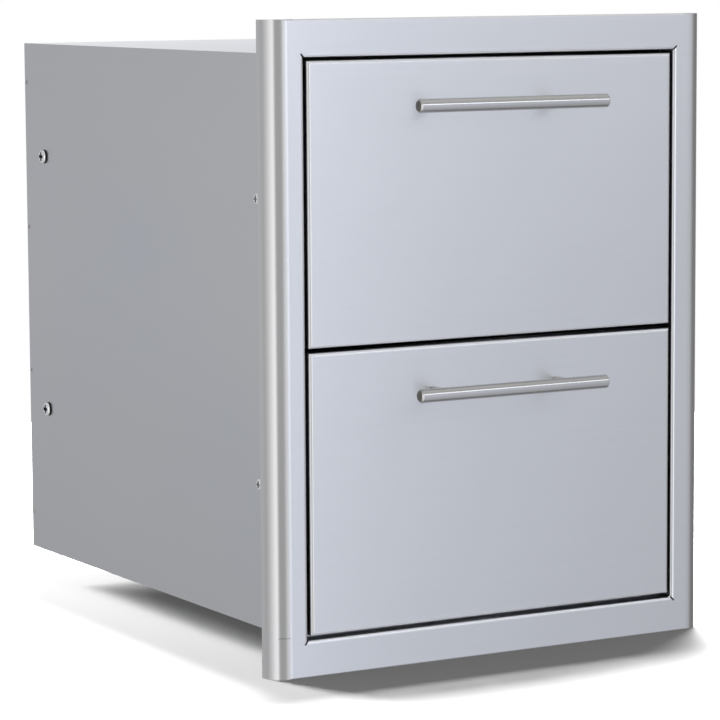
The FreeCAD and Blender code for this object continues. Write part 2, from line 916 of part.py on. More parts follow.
def handle_screw(bottom, side):
    z = handle_height(bottom)
    x = side * post_spacing / 2
    seat = -frame_depth + front_sheet
    head = pan_head(handle_screw_head_radius, handle_screw_head_height)
    head.rotate(vec(0, 0, 0), vec(0, 0, 1), 90)
    head.translate(vec(x, seat, z))
    length = front_sheet + handle_screw_reach - fit
    shank = rod(handle_screw_radius, vec(x, seat - length, z), vec(0, 1, 0), length)
    return fuse([head, shank])


# Assembly

def make_cabinet():
    panel = side_panel()
    save("front_frame", front_frame())
    save("right_side_panel", panel)
    save("left_side_panel", mirrored(panel))
    save("top_panel", top_panel())
    save("bottom_panel", bottom_panel())
    save("rear_panel", rear_panel())
    save("rear_rivets", [on_side(edge_rivet(z), s) for z in edge_rivet_heights() for s in side_signs])


def make_brackets():
    groups = {
        "front_slide_brackets": [],
        "rear_slide_brackets": [],
        "front_bracket_screws": [],
        "front_bracket_nuts": [],
        "rear_bracket_screws": [],
        "rear_bracket_nuts": [],
        "slide_bracket_rivets": [],
    }
    for drawer in front_bottoms:
        z = slide_height_of(drawer)
        front_z = z - front_screw_drop
        rear_z = z + rear_screw_rise
        drawn = [
            ("front_slide_brackets",
             bracket(front_screw_setback, -front_screw_drop, front_screw_radius, drawer)),
            ("rear_slide_brackets",
             bracket(rear_screw_setback, rear_screw_rise, rear_screw_radius, drawer)),
            ("front_bracket_screws",
             bracket_screw(front_screw_radius, front_head_radius, front_head_height,
                           front_nut_height, front_screw_setback, front_z)),
            ("front_bracket_nuts",
             hex_nut(front_nut_width, front_nut_height, front_screw_radius,
                     front_screw_setback, front_z)),
            ("rear_bracket_screws",
             bracket_screw(rear_screw_radius, rear_head_radius, rear_head_height,
                           rear_nut_height, rear_screw_setback, rear_z)),
            ("rear_bracket_nuts",
             hex_nut(rear_nut_width, rear_nut_height, rear_screw_radius,
                     rear_screw_setback, rear_z)),
        ]
        for setback in (front_screw_setback, rear_screw_setback):
            for offset in (-bracket_rivet_offset, bracket_rivet_offset):
                drawn.append(("slide_bracket_rivets", flush_rivet(setback + offset, drawer)))
        for name, shape in drawn:
            groups[name].extend([on_side(shape, side) for side in side_signs])
    for name, shapes in groups.items():
        save(name, shapes)


def make_slides():
    members = {
        "outer_member": outer_member(),
        "middle_member": middle_member(),
        "inner_member": inner_member(),
        "outer_ball_cage": ball_cage(outer_cage_web, outer_ball_reach, outer_ball_height),
        "inner_ball_cage": ball_cage(inner_cage_web, inner_ball_reach, inner_ball_height),
    }
    for drawer in front_bottoms:
        for side in side_signs:
            for name, shape in members.items():
                save("_".join((drawer, side, name)), placed_slide(shape, drawer, side))


def make_drawers():
    for drawer, bottom in front_bottoms.items():
        z = bottom + slide_above_front_bottom
        rivets = [
            on_side(tray_rivet(slide_front + place, z), side)
            for place in tray_rivet_places()
            for side in side_signs
        ]
        screws = [panel_screw(x, height) for x, height in panel_screw_places(bottom)]
        save(drawer + "_drawer_front", drawer_front(bottom))
        save(drawer + "_drawer_inner_front", inner_front(bottom))
        save(drawer + "_drawer_tray", tray(bottom))
        save(drawer + "_drawer_back", tray_back(bottom))
        save(drawer + "_drawer_slide_rivets", rivets)
        save(drawer + "_drawer_front_screws", screws)
        save(drawer + "_handle_bar", handle_bar(bottom))
        save(drawer + "_handle_posts", [handle_post(bottom, s) for s in (-1, 1)])
        save(drawer + "_handle_screws", [handle_screw(bottom, s) for s in (-1, 1)])


os.makedirs("parts", exist_ok=True)
make_cabinet()
make_brackets()
make_slides()
make_drawers()
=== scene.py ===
import math

import bpy
from bpy.props import FloatProperty, FloatVectorProperty, PointerProperty
from mathutils import Matrix, Vector


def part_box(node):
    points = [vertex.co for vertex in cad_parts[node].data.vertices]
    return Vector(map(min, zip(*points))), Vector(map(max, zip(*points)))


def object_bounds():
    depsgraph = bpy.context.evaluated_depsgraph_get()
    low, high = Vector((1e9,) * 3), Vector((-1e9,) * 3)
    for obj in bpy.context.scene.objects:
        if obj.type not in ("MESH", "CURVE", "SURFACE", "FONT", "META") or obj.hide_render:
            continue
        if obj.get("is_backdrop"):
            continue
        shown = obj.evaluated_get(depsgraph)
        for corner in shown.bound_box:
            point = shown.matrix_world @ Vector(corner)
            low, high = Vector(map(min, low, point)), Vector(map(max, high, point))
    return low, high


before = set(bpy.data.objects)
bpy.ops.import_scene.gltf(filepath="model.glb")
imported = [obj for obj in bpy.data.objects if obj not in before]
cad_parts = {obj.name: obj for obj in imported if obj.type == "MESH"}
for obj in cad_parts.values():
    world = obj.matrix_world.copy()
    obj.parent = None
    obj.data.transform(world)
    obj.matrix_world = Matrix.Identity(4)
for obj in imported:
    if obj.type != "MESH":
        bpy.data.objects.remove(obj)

bl_info = {
    "name": "Drawer unit finish",
    "version": (1, 0, 0),
    "blender": (4, 5, 0),
    "location": "3D View > Sidebar > Drawer unit",
    "description": "Finishes the sheet metal, handles and slides of a built-in drawer unit",
    "category": "Object",
}

DRAWERS = ("upper", "lower")
SIDES = ("left", "right")
ENDS = ("front", "rear")
MILLIMETRE = 0.001


# Sizes and colours that a user would change

class SteelSettings(bpy.types.PropertyGroup):
    face_tint: FloatVectorProperty(
        name="Front steel",
        description="Colour that the brushed front frame and drawer fronts reflect",
        subtype="COLOR", min=0.0, max=1.0, default=(0.66, 0.662, 0.67),
    )
    cabinet_tint: FloatVectorProperty(
        name="Cabinet steel",
        description="Colour that the cabinet's dull sheets reflect",
        subtype="COLOR", min=0.0, max=1.0, default=(0.613, 0.615, 0.638),
    )
    box_tint: FloatVectorProperty(
        name="Drawer box steel",
        description="Colour that the drawers' trays and backs reflect",
        subtype="COLOR", min=0.0, max=1.0, default=(0.62, 0.63, 0.65),
    )
    handle_tint: FloatVectorProperty(
        name="Handle steel",
        description="Colour that the handle bars and posts reflect",
        subtype="COLOR", min=0.0, max=1.0, default=(0.505, 0.50, 0.49),
    )
    zinc_tint: FloatVectorProperty(
        name="Zinc plate",
        description="Colour that the slides and brackets reflect",
        subtype="COLOR", min=0.0, max=1.0, default=(0.64, 0.66, 0.69),
    )
    screw_tint: FloatVectorProperty(
        name="Screw steel",
        description="Colour that the screws, nuts and rivets reflect",
        subtype="COLOR", min=0.0, max=1.0, default=(0.60, 0.60, 0.61),
    )
    grain_length: FloatProperty(
        name="Grain length",
        description="Usual length of one brushed scratch",
        subtype="DISTANCE", unit="LENGTH", min=0.001, max=0.5, default=0.040,
    )
    grain_width: FloatProperty(
        name="Grain width",
        description="Usual width of one brushed scratch",
        subtype="DISTANCE", unit="LENGTH", min=0.0001, max=0.01, default=0.0006,
    )
    seam_height: FloatProperty(
        name="Seam height",
        description="Height of the short seam across the frame's left rounded edge",
        subtype="DISTANCE", unit="LENGTH", min=0.0, max=0.5, default=0.0363,
    )


class StageSettings(bpy.types.PropertyGroup):
    camera_place: FloatVectorProperty(
        name="Camera place",
        description="Where the camera stands, in the unit's own frame",
        subtype="XYZ", unit="LENGTH", default=(-1.5289, -2.4497, 0.6098),
    )
    camera_turn: FloatProperty(
        name="Camera turn",
        description="How far the camera turns from straight back towards the right",
        subtype="ANGLE", default=math.radians(29.801),
    )
    camera_pitch: FloatProperty(
        name="Camera pitch",
        description="How far the camera looks down",
        subtype="ANGLE", default=math.radians(6.867),
    )
    camera_roll: FloatProperty(
        name="Camera roll",
        description="How far the camera leans about its own line of sight",
        subtype="ANGLE", default=math.radians(-0.350),
    )
    lens: FloatProperty(
        name="Lens",
        description="Focal length on a sensor 36 mm wide",
        subtype="DISTANCE_CAMERA", unit="CAMERA", min=20.0, max=400.0, default=163.855,
    )
    floor_tint: FloatVectorProperty(
        name="Floor",
        description="Colour of the pale floor",
        subtype="COLOR", min=0.0, max=1.0, default=(0.94, 0.94, 0.94),
    )
    floor_glow: FloatProperty(
        name="Floor glow",
        description="Brightness that the floor has of itself, as a lit table has",
        min=0.0, max=1.0, default=0.087,
    )
    floor_radius: FloatProperty(
        name="Floor radius",
        description="How far the floor reaches from the unit",
        subtype="DISTANCE", unit="LENGTH", min=1.0, max=50.0, default=1.6,
    )
    sky_strength: FloatProperty(
        name="Sky strength",
        description="Brightness of the even light that fills the shadows",
        min=0.0, max=5.0, default=0.115,
    )
    key_power: FloatProperty(
        name="Key power",
        description="Power of the soft light high above the unit",
        subtype="POWER", unit="POWER", min=0.0, max=5000.0, default=458.0,
    )
    key_size: FloatProperty(
        name="Key size",
        description="Side of the square light above the unit",
        subtype="DISTANCE", unit="LENGTH", min=0.05, max=5.0, default=0.9,
    )
    key_place: FloatVectorProperty(
        name="Key place",
        description="Where the middle of the light above the unit hangs",
        subtype="XYZ", unit="LENGTH", default=(0.50, 0.84, 4.0),
    )
    back_power: FloatProperty(
        name="Back light power",
        description="Power of the soft light behind the unit on its left",
        subtype="POWER", unit="POWER", min=0.0, max=5000.0, default=212.0,
    )
    back_size: FloatProperty(
        name="Back light size",
        description="Side of the square light behind the unit",
        subtype="DISTANCE", unit="LENGTH", min=0.05, max=5.0, default=0.8,
    )
    back_place: FloatVectorProperty(
        name="Back light place",
        description="Where the light behind the unit stands",
        subtype="XYZ", unit="LENGTH", default=(-1.17, 2.98, 1.02),
    )
    tent_radius: FloatProperty(
        name="Tent radius",
        description="Distance of the reflecting tent's wall from the unit",
        subtype="DISTANCE", unit="LENGTH", min=0.8, max=10.0, default=2.0,
    )


# Shader nodes

NOISE_ROUGHNESS = 0.6
QUARTER_TURN = 0.25


class Value:
    """A shader socket that stands in a Python expression on values."""

    def __init__(self, shader, output):
        self.shader = shader
        self.output = output

    def other(self, name):
        """Another output of the same node."""
        return Value(self.shader, self.output.node.outputs[name])

    def apply(self, operation, first, second=0.0):
        return self.shader.add("ShaderNodeMath", {"operation": operation}, {0: first, 1: second})

    def __add__(self, other):
        return self.apply("ADD", self, other)

    def __radd__(self, other):
        return self.apply("ADD", other, self)

    def __sub__(self, other):
        return self.apply("SUBTRACT", self, other)

    def __rsub__(self, other):
        return self.apply("SUBTRACT", other, self)

    def __mul__(self, other):
        return self.apply("MULTIPLY", self, other)

    def __rmul__(self, other):
        return self.apply("MULTIPLY", other, self)

    def __truediv__(self, other):
        return self.apply("DIVIDE", self, other)

    def __rtruediv__(self, other):
        return self.apply("DIVIDE", other, self)

    def __lt__(self, other):
        return self.apply("LESS_THAN", self, other)

    def __gt__(self, other):
        return self.apply("GREATER_THAN", self, other)

    def __abs__(self):
        return self.apply("ABSOLUTE", self)

    def root(self):
        return self.apply("SQRT", self)

    def angle_from(self, other):
        """The angle whose tangent is this value over the other one."""
        return self.apply("ARCTAN2", self, other)


class Shader:
    """The node tree of one material or world."""

    def __init__(self, owner):
        owner.use_nodes = True
        self.owner = owner
        self.tree = owner.node_tree
        self.tree.nodes.clear()

    def add(self, kind, settings=None, inputs=None, output=0):
        """Adds a node: its settings first, then the values and links of its sockets."""
        node = self.tree.nodes.new(kind)
        for name, value in (settings or {}).items():
            if name == "stops":
                self.set_stops(node.color_ramp, value)
            else:
                setattr(node, name, value)
        for name, value in (inputs or {}).items():
            socket = node.inputs[name]
            if isinstance(value, Value):
                self.tree.links.new(value.output, socket)
            elif socket.type == "RGBA":
                socket.default_value = (*value, 1.0)
            else:
                socket.default_value = value
        return Value(self, node.outputs[output]) if node.outputs else None

    def set_stops(self, ramp, stops):
        while len(ramp.elements) < len(stops):
            ramp.elements.new(1.0)
        for element, (position, level) in zip(ramp.elements, stops):
            element.position = position
            element.color = (*level, 1.0)

    def mix(self, share, first, second):
        """A colour between two colours."""
        # Sockets 6 and 7 and output 2 are the ones that the node uses for colours
        return self.add("ShaderNodeMix", {"data_type": "RGBA"}, {0: share, 6: first, 7: second}, 2)

    def scaled(self, colour, by):
        """A colour made brighter or darker by a value."""
        return self.add("ShaderNodeVectorMath", {"operation": "SCALE"}, {0: colour, "Scale": by})

    def ramp(self, share, stops):
        """A colour that runs through the stops."""
        return self.add("ShaderNodeValToRGB", {"stops": stops}, {"Fac": share}, "Color")

    def fade_in(self, value, start, end):
        """Rises from 0 to 1 as a value goes from start to end."""
        inputs = {"Value": value, "From Min": start, "From Max": end}
        return self.add("ShaderNodeMapRange", {}, inputs)

    def band(self, value, limits):
        """Rises from 0 to 1 over the first two limits, and falls back over the last two."""
        start, full, falling, end = limits
        return self.fade_in(value, start, full) * self.fade_in(value, end, falling)

    def point(self):
        """A point of the unit, in the unit's own frame."""
        return self.add("ShaderNodeTexCoord", output="Object")

    def facing(self):
        """The direction that the surface faces, in the unit's own frame."""
        return self.add("ShaderNodeTexCoord", output="Normal")

    def parts(self, vector):
        """The x, y and z of a point or a direction."""
        x = self.add("ShaderNodeSeparateXYZ", inputs={0: vector}, output="X")
        return x, x.other("Y"), x.other("Z")

    def streaks(self, where, turns, detail=2.0):
        """Noise stretched by its turns per metre along each axis."""
        stretched = self.add("ShaderNodeMapping", inputs={"Vector": where, "Scale": turns})
        inputs = {"Vector": stretched, "Scale": 1.0, "Detail": detail, "Roughness": NOISE_ROUGHNESS}
        return self.add("ShaderNodeTexNoise", {"noise_dimensions": "3D"}, inputs, "Fac")

    def finish(self, colour, roughness, relief, depth, brushed=0.0):
        """Metal with a colour, a roughness and a relief of a depth in metres."""
        bump = {"Strength": 1.0, "Distance": depth, "Height": relief}
        inputs = {
            "Base Color": colour,
            "Roughness": roughness,
            "Metallic": 1.0,
            "Normal": self.add("ShaderNodeBump", {}, bump, "Normal"),
        }
        if brushed:
            # Level scratches spread each highlight up and down
            inputs.update({"Anisotropic": brushed, "Anisotropic Rotation": QUARTER_TURN})
        surface = self.add("ShaderNodeBsdfPrincipled", {}, inputs, "BSDF")
        self.add("ShaderNodeOutputMaterial", {}, {"Surface": surface})
        return self.owner


def shaded(colour, by):
    """A set colour times one factor, or times one for each of red, green and blue."""
    factors = by if isinstance(by, tuple) else (by,) * 3
    return tuple(part * factor for part, factor in zip(colour, factors))


def drift(noise, weight):
    """How far a noise strays from its middle, 0.5, times a weight."""
    return (noise - 0.5) * weight


def even(turns):
    """The same turns per metre along all three axes."""
    return (turns,) * 3


def new_shader(name):
    return Shader(bpy.data.materials.new(name))


# Finishes

# How many times longer and wider than the grain the coarse scratches are
COARSER = 5.0

# The short closed seam across the frame's left rounded edge: where it starts and ends, from the
# frame's left, how far back it runs, its width, how much it shows, its shade and how far it sinks
SEAM_START = 7.5 * MILLIMETRE
SEAM_END = 17.5 * MILLIMETRE
SEAM_BACK = 11.5 * MILLIMETRE
SEAM_WIDTH = 1.0 * MILLIMETRE
SEAM_SHARE = 0.5
SEAM_SHADE = 0.35
SEAM_RELIEF = 8.0

# Parts of a bend, as bands of how far its surface has turned from the front, from 0 to 1
LEVEL_BEND = (0.05, 0.2, 0.7, 0.95)
UPRIGHT_BEND = (0.03, 0.1, 0.4, 0.6)
UNDER_BEND = (0.05, 0.2, 0.5, 0.75)
NEAR_GAP = (0.5, 0.75, 0.97, 0.995)

# How much brighter the painted highlights make the bends than the flats, and how much of it the
# bends that face down get
LEVEL_BEND_HIGHLIGHT = 1.1
EDGE_HIGHLIGHT_BRIGHT = 1.5
UNDER_SHARE = 0.4

# The painted edge highlight lies inside the frame's rounded edges and above its bottom edge
EDGE_HIGHLIGHT_HALF_WIDTH = 200 * MILLIMETRE
EDGE_HIGHLIGHT_LOWEST = 10 * MILLIMETRE

# The cut walls of the relief slits run at 45 degrees: how far they face both sideways and up or
# down, and the painted shade that stands for the dark inside the slits
SLIT_TURN = 0.6
SLIT_PAINTED_SHADE = 0.04

# The turned faces at the ends of a handle bar: how deep they count, how strongly their painted
# shade shows, and how much rougher they are
FACED_DEPTH = 0.2 * MILLIMETRE
FACED_SHARE = 0.85
FACED_ROUGHER = 0.10

# How far a screw head's surface still points along its axis where its painted shade starts, and
# where that painted shade is full
FLANK_START = 0.35
FLANK_FULL = 0.15

# How bright the bracket screws at each end are, and the painted shade of their flanks and recesses
BRACKET_SCREWS = {"front": (1.64, 0.35), "rear": (1.6, 0.03)}
INWARD_SCREW_PAINTED_SHADE = 0.08

# How dark other pieces are beside the colour that they share
FRAME_SHADE = 0.968
FRONT_SHADE = 0.965
CAGE_SHADE = 0.92
BRACKET_SHADE = 0.95
RIVET_SHADE = 0.9

HANDLE_ROUGHNESS = 0.16


def brushed_steel(name, tint, steel, roughness, brushed, bend_highlight, bend_highlight_from, seam=False):
    """Satin sheet with level scratches, faint clouds, painted bend highlights and painted slit
    shade.
    """
    shader = new_shader(name)
    where = shader.point()
    x, y, z = shader.parts(where)
    turns = (1.0 / steel.grain_length, 1.0 / steel.grain_width, 1.0 / steel.grain_width)
    grain = shader.streaks(where, turns, detail=3.0)
    coarse = shader.streaks(where, [axis_turns / COARSER for axis_turns in turns])
    clouds = shader.streaks(where, even(5.0), detail=1.0)
    share = drift(grain, 0.5) + drift(coarse, 0.35) + drift(clouds, 0.5) + 0.5
    dull = shaded(tint, 0.955)
    bright = shaded(tint, 1.045)
    colour = shader.mix(share, dull, bright)
    relief = grain * 0.7 + coarse * 0.3
    if seam:
        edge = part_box("front_frame")[0]
        across = (x > edge.x + SEAM_START) * (x < edge.x + SEAM_END) * (y < edge.y + SEAM_BACK)
        line = across * (abs(z - steel.seam_height) < SEAM_WIDTH / 2)
        colour = shader.mix(line * SEAM_SHARE, colour, shaded(tint, SEAM_SHADE))
        relief = relief - line * SEAM_RELIEF

    # Painted highlights brighten the bends that face up, and the ones that face left, apart from
    # the frame's own rounded edge, which stays brushed
    right, _, up = shader.parts(shader.facing())
    left = 0.0 - right
    level = shader.band(up, LEVEL_BEND)
    upright_highlight = shader.band(left, UPRIGHT_BEND) * (x > bend_highlight_from)
    colour = shader.mix(level, colour, shaded(tint, LEVEL_BEND_HIGHLIGHT))
    colour = shader.mix(upright_highlight, colour, shaded(tint, bend_highlight))

    # Painted highlight on the back half of the other bends round the opening, where they turn into
    # the gap
    under = shader.band(0.0 - up, UNDER_BEND) * UNDER_SHARE
    painted_edge_highlight = shader.band(abs(up), NEAR_GAP) + shader.band(right, NEAR_GAP) + under
    painted_edge_highlight = painted_edge_highlight * (abs(x) < EDGE_HIGHLIGHT_HALF_WIDTH) * (z > EDGE_HIGHLIGHT_LOWEST)
    colour = shader.mix(painted_edge_highlight, colour, shaded(tint, EDGE_HIGHLIGHT_BRIGHT))

    # The slit walls get painted shade, for the dark inside the slits
    painted_slit_shade = (abs(right) > SLIT_TURN) * (abs(up) > SLIT_TURN)
    colour = shader.mix(painted_slit_shade, colour, shaded(tint, SLIT_PAINTED_SHADE))
    rough = roughness + drift(grain, 0.08) + drift(clouds, 0.04)
    return shader.finish(colour, rough, relief, depth=0.008 * MILLIMETRE, brushed=brushed)


def mill_sheet(name, tint, roughness):
    """Dull rolled sheet with soft clouds and faint rolling lines."""
    shader = new_shader(name)
    where = shader.point()
    clouds = shader.streaks(where, (3.0, 2.0, 3.5), detail=3.0)
    lines = shader.streaks(where, (260.0, 2.0, 260.0))
    fine = shader.streaks(where, (1500.0, 900.0, 1500.0))
    share = drift(clouds, 2.2) + drift(lines, 0.3) + drift(fine, 0.1) + 0.5
    cool = shaded(tint, (0.955, 0.985, 1.015))
    warm = shaded(tint, (1.04, 1.025, 0.99))
    colour = shader.mix(share, cool, warm)
    rough = roughness + drift(clouds, 0.06) + drift(fine, 0.01)
    relief = fine * 0.1 + lines * 0.9
    return shader.finish(colour, rough, relief, depth=0.0015 * MILLIMETRE)


def turned_steel(name, tint, roughness, half_length):
    """A bar ground round its axis, with painted shade, mottled at random, on the faces at its ends.
    """
    shader = new_shader(name)
    where = shader.point()
    x, _, _ = shader.parts(where)
    rings = shader.streaks(where, (1400.0, 30.0, 30.0))
    long_tone = shader.streaks(where, (18.0, 8.0, 8.0))
    share = drift(rings, 0.6) + drift(long_tone, 0.5) + 0.5
    dull = shaded(tint, 0.93)
    bright = shaded(tint, 1.06)
    ground = shader.mix(share, dull, bright)
    mottle = drift(shader.streaks(where, even(800.0), detail=1.0), 2.4) + 0.5
    # The end faces get a painted shade, mottled at random
    dark = shaded(tint, 0.22)
    pale = shaded(tint, 0.62)
    turned = shader.mix(mottle, dark, pale)
    faced = abs(x) > half_length - FACED_DEPTH
    colour = shader.mix(faced * FACED_SHARE, ground, turned)
    rough = roughness + drift(rings, 0.08) + faced * FACED_ROUGHER
    return shader.finish(colour, rough, rings, depth=0.006 * MILLIMETRE)


def zinc_plate(name, tint, roughness):
    """Bright zinc with a faint blue and straw passivation."""
    shader = new_shader(name)
    where = shader.point()
    patches = shader.streaks(where, (22.0, 9.0, 22.0), detail=3.0)
    fine = shader.streaks(where, even(700.0))
    blue = shaded(tint, (0.93, 0.98, 1.06))
    straw = shaded(tint, (1.04, 1.02, 0.93))
    colour = shader.mix(patches * 0.8 + fine * 0.2, blue, straw)
    rough = roughness + drift(fine, 0.12)
    return shader.finish(colour, rough, fine, depth=0.01 * MILLIMETRE)


def fastener_steel(name, tint, roughness, axis=None, painted_shade=1.0):
    """Headed steel with the heading die's sheen, and painted shade on flanks and recess round an
    axis.
    """
    shader = new_shader(name)
    where = shader.point()
    fine = shader.streaks(where, even(900.0), detail=3.0)
    patches = shader.streaks(where, even(160.0))
    dull = shaded(tint, 0.86)
    bright = shaded(tint, 1.08)
    colour = shader.mix(fine * 0.5 + patches * 0.5, dull, bright)
    if axis:
        along = abs(shader.parts(shader.facing())["XYZ".index(axis)])
        # Painted shade on the surfaces that face across the axis: the head's flanks and the recess
        # walls
        painted_flank_shade = shader.fade_in(along, FLANK_START, FLANK_FULL)
        colour = shader.mix(painted_flank_shade, colour, shaded(tint, painted_shade))
    rough = roughness + drift(fine, 0.16)
    return shader.finish(colour, rough, fine, depth=0.015 * MILLIMETRE)


def dress(nodes, material):
    """Gives CAD nodes their finish."""
    for name in nodes:
        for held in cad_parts[name].material_slots:
            held.material = material


def drawer_nodes(*kinds):
    return [f"{drawer}_{kind}" for drawer in DRAWERS for kind in kinds]


def slide_nodes(*kinds):
    return drawer_nodes(*(f"{side}_{kind}" for side in SIDES for kind in kinds))


# Operators, one for each group of like pieces

class UNIT_OT_front_frame(bpy.types.Operator):
    """Brushes the front frame along its rails"""
    bl_idname = "unit.front_frame"
    bl_label = "Front frame"
    bl_options = {"REGISTER", "UNDO"}

    def execute(self, context):
        steel = context.scene.unit_steel
        tint = shaded(steel.face_tint, FRAME_SHADE)
        finish = brushed_steel(
            "frame brushed steel", tint, steel, roughness=0.31, brushed=0.85,
            bend_highlight=1.4, bend_highlight_from=0.0, seam=True,
        )
        dress(["front_frame"], finish)
        return {"FINISHED"}


class UNIT_OT_drawer_fronts(bpy.types.Operator):
    """Brushes the drawer fronts across their width"""
    bl_idname = "unit.drawer_fronts"
    bl_label = "Drawer fronts"
    bl_options = {"REGISTER", "UNDO"}

    def execute(self, context):
        steel = context.scene.unit_steel
        tint = shaded(steel.face_tint, FRONT_SHADE)
        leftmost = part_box("upper_drawer_front")[0].x
        finish = brushed_steel(
            "drawer front brushed steel", tint, steel, roughness=0.34, brushed=0.75,
            bend_highlight=1.48, bend_highlight_from=leftmost - MILLIMETRE,
        )
        dress(drawer_nodes("drawer_front"), finish)
        return {"FINISHED"}


class UNIT_OT_handles(bpy.types.Operator):
    """Gives the handle bars and posts their ground and turned finish"""
    bl_idname = "unit.handles"
    bl_label = "Handles"
    bl_options = {"REGISTER", "UNDO"}

    def execute(self, context):
        tint = context.scene.unit_steel.handle_tint
        half_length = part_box("upper_handle_bar")[1].x
        bars = drawer_nodes("handle_bar")
        finish = turned_steel("handle bar ground steel", tint, HANDLE_ROUGHNESS, half_length)
        dress(bars, finish)
        for name in bars:
            # Lit so that the drawer fronts show no image of the bars, as in the photograph
            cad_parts[name].visible_glossy = False
        # The posts' own ends are hidden, so none of their length counts as faced
        beyond = 2 * half_length
        finish = turned_steel("handle post ground steel", tint, HANDLE_ROUGHNESS, beyond)
        dress(drawer_nodes("handle_posts"), finish)
        return {"FINISHED"}


class UNIT_OT_cabinet(bpy.types.Operator):
    """Gives the cabinet's panels their dull rolled finish"""
    bl_idname = "unit.cabinet"
    bl_label = "Cabinet panels"
    bl_options = {"REGISTER", "UNDO"}

    def execute(self, context):
        tint = context.scene.unit_steel.cabinet_tint
        panels = [side + "_side_panel" for side in SIDES]
        panels += ["top_panel", "bottom_panel", "rear_panel"]
        dress(panels, mill_sheet("cabinet rolled steel", tint, roughness=0.31))
        return {"FINISHED"}


class UNIT_OT_drawer_boxes(bpy.types.Operator):
    """Gives the trays, backs and inner fronts their dull rolled finish"""
    bl_idname = "unit.drawer_boxes"
    bl_label = "Drawer boxes"
    bl_options = {"REGISTER", "UNDO"}

    def execute(self, context):
        tint = context.scene.unit_steel.box_tint
        finish = mill_sheet("drawer box rolled steel", tint, roughness=0.235)
        dress(drawer_nodes("drawer_tray", "drawer_back", "drawer_inner_front"), finish)
        return {"FINISHED"}


class UNIT_OT_slides(bpy.types.Operator):
    """Zinc plates the slides, their ball cages and their brackets"""
    bl_idname = "unit.slides"
    bl_label = "Slides and brackets"
    bl_options = {"REGISTER", "UNDO"}

    def execute(self, context):
        tint = context.scene.unit_steel.zinc_tint
        members = slide_nodes("outer_member", "middle_member", "inner_member")
        dress(members, zinc_plate("slide zinc plate", tint, roughness=0.24))
        cages = slide_nodes("outer_ball_cage", "inner_ball_cage")
        cage_tint = shaded(tint, CAGE_SHADE)
        dress(cages, zinc_plate("ball cage bright steel", cage_tint, roughness=0.16))
        brackets = [end + "_slide_brackets" for end in ENDS]
        bracket_tint = shaded(tint, BRACKET_SHADE)
        dress(brackets, zinc_plate("bracket zinc plate", bracket_tint, roughness=0.3))
        return {"FINISHED"}


class UNIT_OT_fasteners(bpy.types.Operator):
    """Gives the screws, nuts and rivets their bright finish"""
    bl_idname = "unit.fasteners"
    bl_label = "Screws, nuts and rivets"
    bl_options = {"REGISTER", "UNDO"}

    def execute(self, context):
        tint = context.scene.unit_steel.screw_tint
        for end, (bright, painted_shade) in BRACKET_SCREWS.items():
            name = end + "_bracket_screws"
            finish = fastener_steel(
                name + " bright steel", shaded(tint, bright), roughness=0.16, axis="X", painted_shade=painted_shade,
            )
            dress([name], finish)
        finish = fastener_steel(
            "drawer screw bright steel", tint, roughness=0.2, axis="Y", painted_shade=INWARD_SCREW_PAINTED_SHADE,
        )
        dress(drawer_nodes("handle_screws", "drawer_front_screws"), finish)
        nuts = [end + "_bracket_nuts" for end in ENDS]
        dress(nuts, fastener_steel("nut bright steel", tint, roughness=0.2))
        rivets = ["rear_rivets", "slide_bracket_rivets", *drawer_nodes("drawer_slide_rivets")]
        rivet_tint = shaded(tint, RIVET_SHADE)
        dress(rivets, fastener_steel("rivet dull steel", rivet_tint, roughness=0.3))
        return {"FINISHED"}


# Stage

FLOOR_SIDES = 64
TENT_SIDES = 96
TENT_TIERS = 48
SENSOR_WIDTH = 36.0

# The boards of the tent, as a photographer sets them round polished work: for each angle in
# degrees from straight ahead of the unit towards its left, a brightness and a coolness
BOARDS = (
    (-180, 0.60, 0.3),
    (-150, 0.44, 0.5),
    (-122, 0.36, 0.0),
    (-100, 0.27, 0.0),
    (-80, 0.35, 0.0),
    (-66, 0.62, 0.3),
    (-58, 0.74, 0.8),
    (-44, 0.765, 0.9),
    (-22, 1.04, 1.35),
    (-18, 1.72, 1.2),
    (-15, 1.72, 1.2),
    (-9, 1.02, 0.5),
    (2, 1.02, 0.0),
    (13, 0.60, 0.0),
    (45, 0.56, 0.0),
    (50, 1.50, 0.0),
    (58, 1.60, 0.0),
    (74, 1.22, 0.0),
    (90, 0.88, 0.0),
    (108, 0.62, 0.0),
    (138, 0.71, 0.2),
    (156, 0.60, 0.3),
    (180, 0.60, 0.3),
)

# What a coolness of 1 takes from red and adds to blue
RED_DROP = 0.035
BLUE_GAIN = 0.085

# How the boards fade up and down: for each angle in degrees above level, their share
FADE = (
    (-90, 0.60),
    (-60, 0.72),
    (-40, 0.84),
    (-20, 0.81),
    (-3, 0.96),
    (10, 0.92),
    (19, 0.84),
    (31, 0.62),
    (45, 0.68),
    (60, 0.84),
    (75, 0.68),
    (90, 0.52),
)

# The plain board overhead: the angles above level over which it takes over, and its brightness
CEILING_START = 24.0
CEILING_FULL = 40.0
CEILING_LIGHT = 0.95

# Bright patches: the least and most turn, the least and most rise, in degrees, and the brightness
STRIP = (-85, 6, 20.5, 28.5, 2.4)
BACK_PATCH = (-172, -128, 1, 24, 1.62)


def make_mesh(name, vertices, faces):
    mesh = bpy.data.meshes.new(name)
    mesh.from_pydata(vertices, [], faces)
    mesh.update()
    made = bpy.data.objects.new(name, mesh)
    bpy.context.scene.collection.objects.link(made)
    return made


def ring(radius, height, count):
    turn = 2 * math.pi / count
    angles = [turn * i for i in range(count)]
    return [(radius * math.cos(angle), radius * math.sin(angle), height) for angle in angles]


